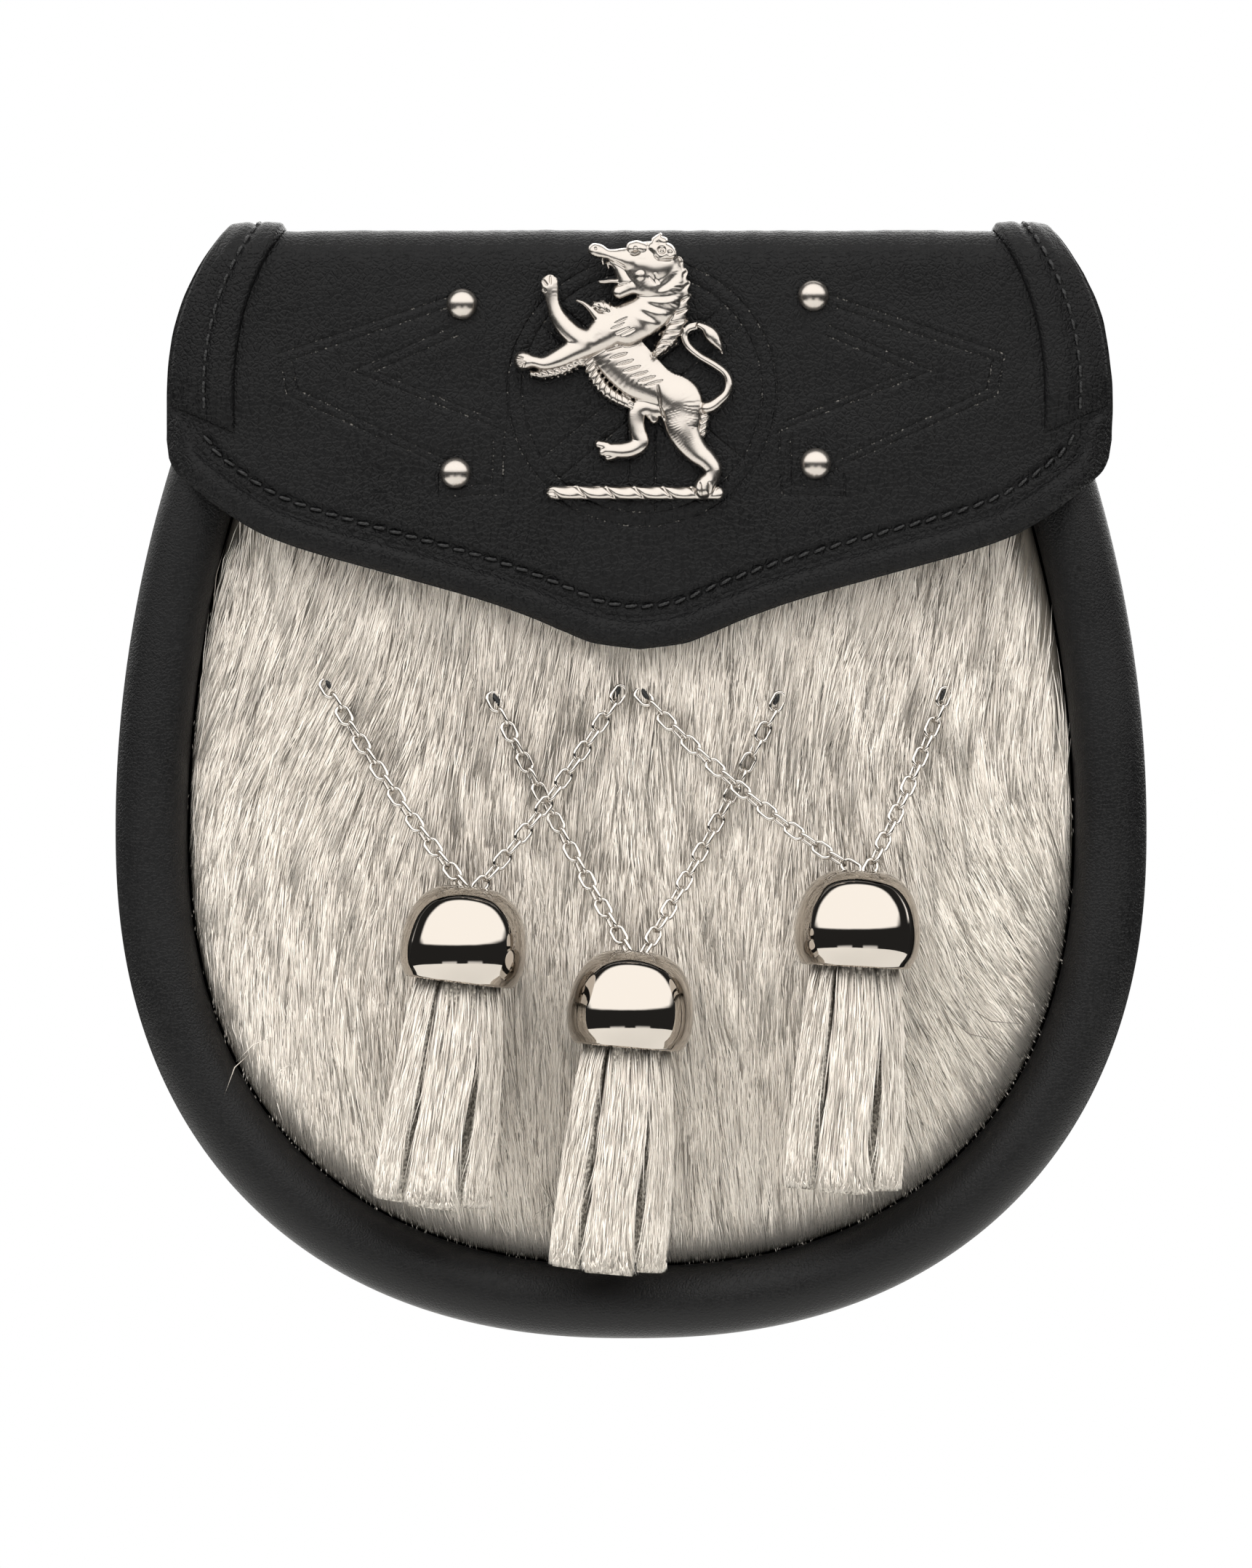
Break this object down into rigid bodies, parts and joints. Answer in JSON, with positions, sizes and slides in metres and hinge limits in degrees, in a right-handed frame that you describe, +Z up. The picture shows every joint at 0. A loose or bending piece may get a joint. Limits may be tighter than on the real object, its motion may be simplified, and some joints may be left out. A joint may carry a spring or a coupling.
{
  "type": "sporran pouch",
  "caption": "Leather sporran pouch with hide front, tooled flap with lion badge, and bell-capped hide tassels on chains.",
  "frame": {"origin": "middle of the strap line behind the pouch, on the rear face of the flap's leg, where the waist strap holds it up", "axes": "+Z up, -Y the side with the hide front, +X to the right seen from the front"},
  "size_m": [0.188, 0.0658, 0.2034],
  "materials": {
    "black_leather": "grained, softly polished",
    "nickel_plate": "bright plated casting",
    "chain_steel": "bright drawn wire",
    "grey_hide": "short lying hair on hide"
  },
  "bodies": {
    "root": {"back_panel": "black_leather", "gusset": "black_leather", "flap": "black_leather", "flap_side_band_left": "black_leather", "flap_side_band_right": "black_leather", "strap_loop_left": "black_leather", "strap_loop_right": "black_leather", "snap_fastener": "nickel_plate", "stud_upper_left": "nickel_plate", "stud_upper_right": "nickel_plate", "stud_lower_left": "nickel_plate", "stud_lower_right": "nickel_plate", "lion_badge": "nickel_plate", "tassel_cap_left": "nickel_plate", "tassel_cap_centre": "nickel_plate", "tassel_cap_right": "nickel_plate", "chain_1": "chain_steel", "chain_2": "chain_steel", "chain_3": "chain_steel", "chain_4": "chain_steel", "chain_5": "chain_steel", "chain_6": "chain_steel", "front_panel": "grey_hide", "tassel_left": "grey_hide", "tassel_centre": "grey_hide", "tassel_right": "grey_hide"}
  },
  "joints": []
}
